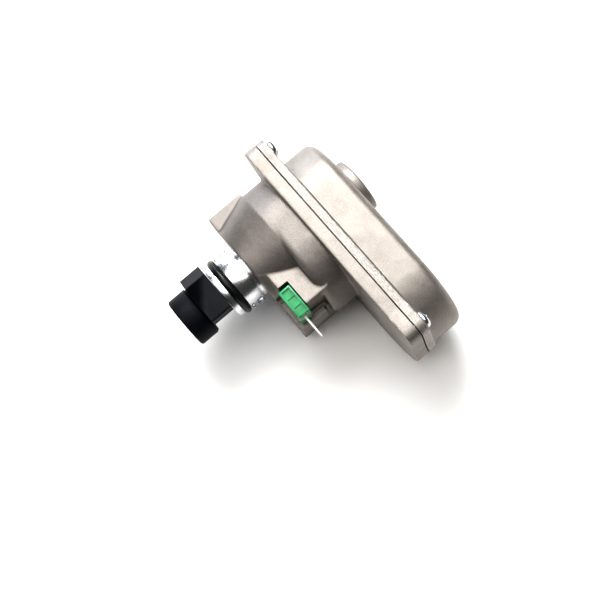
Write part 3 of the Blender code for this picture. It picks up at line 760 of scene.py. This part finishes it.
# %% [markdown]
# ## The plated nose
#
# The spigot plugs into a valve. It is turned from one bar, with a groove for the sealing ring,
# and carries two pairs of small lugs that lock it there. A profile with a Screw modifier would
# give the same shape, but extruding and resizing one face is how the real lathe steps along the
# bar. Thin bevels on every edge make polished plating read as metal: each one is a bright line.

# %% Spigot
SPIGOT_R, COLLAR_R, NECK_R, BORE_R = 12.9, 13.3, 10.0, 8.1
SHOULDER, FRONT_END = -33.8, -50.6
CLIP_GROOVE_R, RING_GROOVE_R, WAIST_R = 9.2, 10.6, 12.55
steps = [(NECK_R, -28.9), (NECK_R, -29.8), (CLIP_GROOVE_R, -29.8), (CLIP_GROOVE_R, -30.8),
         (NECK_R, -30.8), (NECK_R, SHOULDER), (SPIGOT_R, SHOULDER), (SPIGOT_R, -36.2),
         (WAIST_R, -36.4), (WAIST_R, -36.9), (SPIGOT_R, -37.1), (SPIGOT_R, -44.2),
         (RING_GROOVE_R, -44.2), (RING_GROOVE_R, -48.0), (COLLAR_R, -48.0), (COLLAR_R, FRONT_END)]
spigot = turned("spigot", steps, sides=160)
combine(spigot, "DIFFERENCE", bar("bore", BORE_R, FRONT_END - 1.4, -28.0))
rounded(spigot, 0.22, angle=40)
print("spigot turned, bored and bevelled:", len(spigot.data.polygons), "faces")


# %% The spigot's locking lugs
def spigot_lug(angle, y_front, y_rear):
    """A small rounded key on the spigot's side, at an angle from +x in degrees."""
    key = block("key", x=(SPIGOT_R - 1.0, SPIGOT_R + 1.0), y=(y_front, y_rear), z=(-3.2, 3.2))
    rounded(key, 0.35, angle=40)
    pick(key, "VERT", lambda p, v: True)
    bpy.ops.transform.rotate(value=-math.radians(angle), orient_axis="Y",
                             center_override=at(0, 0, 0))
    leave()
    return key


for angle in (18, 198):
    combine(spigot, "UNION", spigot_lug(angle, -40.9, -37.8), spigot_lug(angle, -44.0, -42.6))
shade(spigot, 35)
finish_piece(spigot, "nose_spigot", "housing", "chrome")

# %% [markdown]
# ## The sealing ring
#
# A rubber ring fills the spigot's groove. A torus is already its shape. What a plain torus lacks
# is the fine seam that the two halves of its mould leave round the outside, so the outermost
# row of points is picked and moved outwards a very little.

# %% Sealing ring
O_RING_Y, O_RING_R, O_RING_SECTION = -46.1, 12.45, 1.75
SEAM, SEAM_GROW = 0.05, 1.0035             # the seam's height, and the growth that gives it
bpy.ops.mesh.primitive_torus_add(major_segments=144, minor_segments=28,
                                 major_radius=O_RING_R * MM,
                                 minor_radius=(O_RING_SECTION - SEAM) * MM,
                                 location=at(0, O_RING_Y, 0),
                                 rotation=(math.radians(90), 0, 0))
o_ring = named("o_ring")
OUTERMOST = O_RING_R + O_RING_SECTION - SEAM - 0.01
pick(o_ring, "VERT", lambda p, v: math.hypot(p[0], p[2]) > OUTERMOST)
bpy.ops.transform.resize(value=(SEAM_GROW, 1, SEAM_GROW), center_override=at(0, O_RING_Y, 0))
leave()
shade(o_ring, 60)
finish_piece(o_ring, "spigot_o_ring", "housing", "black_rubber")

# %% [markdown]
# ## The drive block
#
# The block sits on the output shaft and passes its turn on. It is moulded in black plastic. Its
# six corners could be drawn as one polygon and bevelled, but a skin round six thin bars gives the
# outline and its rounded corners in one step. A shallow panel sunk into the front and a raised
# line round the middle show how it was moulded.

# %% Drive block
BLOCK_FRONT, BLOCK_REAR = -61.2, -50.9
SHAFT_R = 5.12
BLOCK_CORNER_R = 0.6
INSET, PANEL, LINE = 0.95, 0.8, 0.985      # each outline's size beside the block's own
outline = [(-14.8, 5.0), (-6.7, 17.0), (11.2, 15.0), (9.6, 3.0), (5.0, -9.5), (-9.0, -10.6)]


def block_skin(name, size, corner, y_front, y_rear):
    """A skin on the block's outline at another size, with corners of a given radius."""
    return hull(name, [(x * size, z * size, corner) for x, z in outline], y_front, y_rear)


drive_block = block_skin("drive_block_piece", INSET, BLOCK_CORNER_R, BLOCK_FRONT, BLOCK_REAR)
rounded(drive_block, 0.45)
combine(drive_block, "DIFFERENCE",
        block_skin("panel", PANEL, 0.5, BLOCK_FRONT - 1, BLOCK_FRONT + 0.5),
        bar("block_bore", SHAFT_R, -70.0, -40.0))
parting = block_skin("parting", LINE, 0.2, -56.2, -55.9)
combine(parting, "DIFFERENCE", bar("parting_bore", SHAFT_R, -70.0, -40.0))
combine(drive_block, "UNION", parting)
shade(drive_block, 35)
finish_piece(drive_block, "drive_block", "output", "black_plastic")

# %% [markdown]
# ## The drive hub
#
# The hub is a plain round cap on the shaft's end. What makes it a moulding and not a cylinder is
# small: a slightly thinner root, a taper towards its face, soft edges and a dished front. The
# taper comes from the last step of the turning, and the dish from a turned cutter.

# %% Drive hub
HUB_R, HUB_ROOT_R, HUB_FACE_R, DISH_R = 11.8, 11.2, 11.1, 9.4
HUB_FRONT = -71.2
hub = turned("drive_hub_piece", [(HUB_ROOT_R, -61.4), (HUB_ROOT_R, -61.9), (HUB_R, -62.3),
                                 (HUB_R, -70.5), (HUB_FACE_R, HUB_FRONT)], sides=128)
rounded(hub, 0.2, segments=2, angle=35)
combine(hub, "DIFFERENCE", bar("hub_bore", SHAFT_R, -80.0, -50.0),
        turned("dish", [(DISH_R, -70.4), (DISH_R, -71.0), (DISH_R + 0.4, -73.0)]))
shade(hub, 35)
finish_piece(hub, "drive_hub", "output", "black_plastic")

# %% [markdown]
# ## The terminal plug
#
# The plug is a bright green moulding that is pushed into the pocket. Its top is a frame round a
# sunken panel, with two ribs across it. Inset and extrude would sink the panel too, but the
# ribs and the hole for the pin need Booleans in any case, so all are done in the same way.

# %% Plug
PLUG_TOP = 18.0
PIN_Y, PIN_Z = -30.0, 14.0
RIB_WIDTH = 0.7
plug = block("plug", x=(20.8, 34.8), y=(-32.6, -26.6), z=(2.5, PLUG_TOP))
rounded(plug, 0.45, angle=40)
combine(plug, "DIFFERENCE",
        block("panel", x=(21.9, 33.7), y=(-31.5, -27.7), z=(PLUG_TOP - 0.8, PLUG_TOP + 2)))
ribs = [block("rib", x=(x, x + RIB_WIDTH), y=(-31.7, -27.5), z=(PLUG_TOP - 1.5, PLUG_TOP - 0.3))
        for x in (25.2, 29.6)]
combine(plug, "UNION", *ribs)
bpy.ops.mesh.primitive_cylinder_add(vertices=32, radius=0.8 * MM, depth=10 * MM,
                                    location=at(35.0, PIN_Y, PIN_Z),
                                    rotation=(0, math.radians(90), 0))
combine(plug, "DIFFERENCE", named("plug_hole"))
shade(plug, 35)
finish_piece(plug, "terminal_plug", "housing", "green_plastic")

# %% [markdown]
# ## The contact pin
#
# A thin white pin stands out of the plug. It has a collar at the plug and a narrower, blunt tip,
# so it is made as the spigot was: one end face is extruded and resized, three times.

# %% Pin
PIN_R, PIN_ROOT, PIN_TIP = 0.65, 32.0, 46.0
COLLAR_LENGTH = 3.0
bpy.ops.mesh.primitive_cylinder_add(vertices=40, radius=PIN_R * MM, depth=COLLAR_LENGTH * MM,
                                    location=at(PIN_ROOT + COLLAR_LENGTH / 2, PIN_Y, PIN_Z),
                                    rotation=(0, math.radians(90), 0))
pin = named("pin")
pick(pin, "FACE", lambda p, f: f.normal.x > 0.9)
reach = PIN_ROOT + COLLAR_LENGTH
for x, grow in ((reach + 0.3, 0.8), (PIN_TIP - 0.5, 0.85), (PIN_TIP, 0.6)):
    bpy.ops.mesh.extrude_region_move(
        TRANSFORM_OT_translate={"value": ((x - reach) * MM, 0, 0)})
    bpy.ops.transform.resize(value=(1, grow, grow), center_override=at(x, PIN_Y, PIN_Z))
    reach = x
leave()
shade(pin, 35)
finish_piece(pin, "contact_pin", "housing", "white_plastic")

# %% [markdown]
# ## The floor's finish
#
# The sheet is almost white. One plain colour would do, but a perfectly even floor looks drawn, so
# it has a cloud of two close tones that is too faint to be noticed by itself.

# %% Floor finish
sheet = Finish("floor")
cloud = sheet.noise(60.0)
sheet.feed("Base Color", sheet.blend(cloud, (0.93, 0.925, 0.915), (0.96, 0.955, 0.945)))
sheet.feed("Roughness", 0.6 + cloud * 0.1)
floor.data.materials.append(sheet.material)
print("floor finish:", len(sheet.tree.nodes), "nodes")
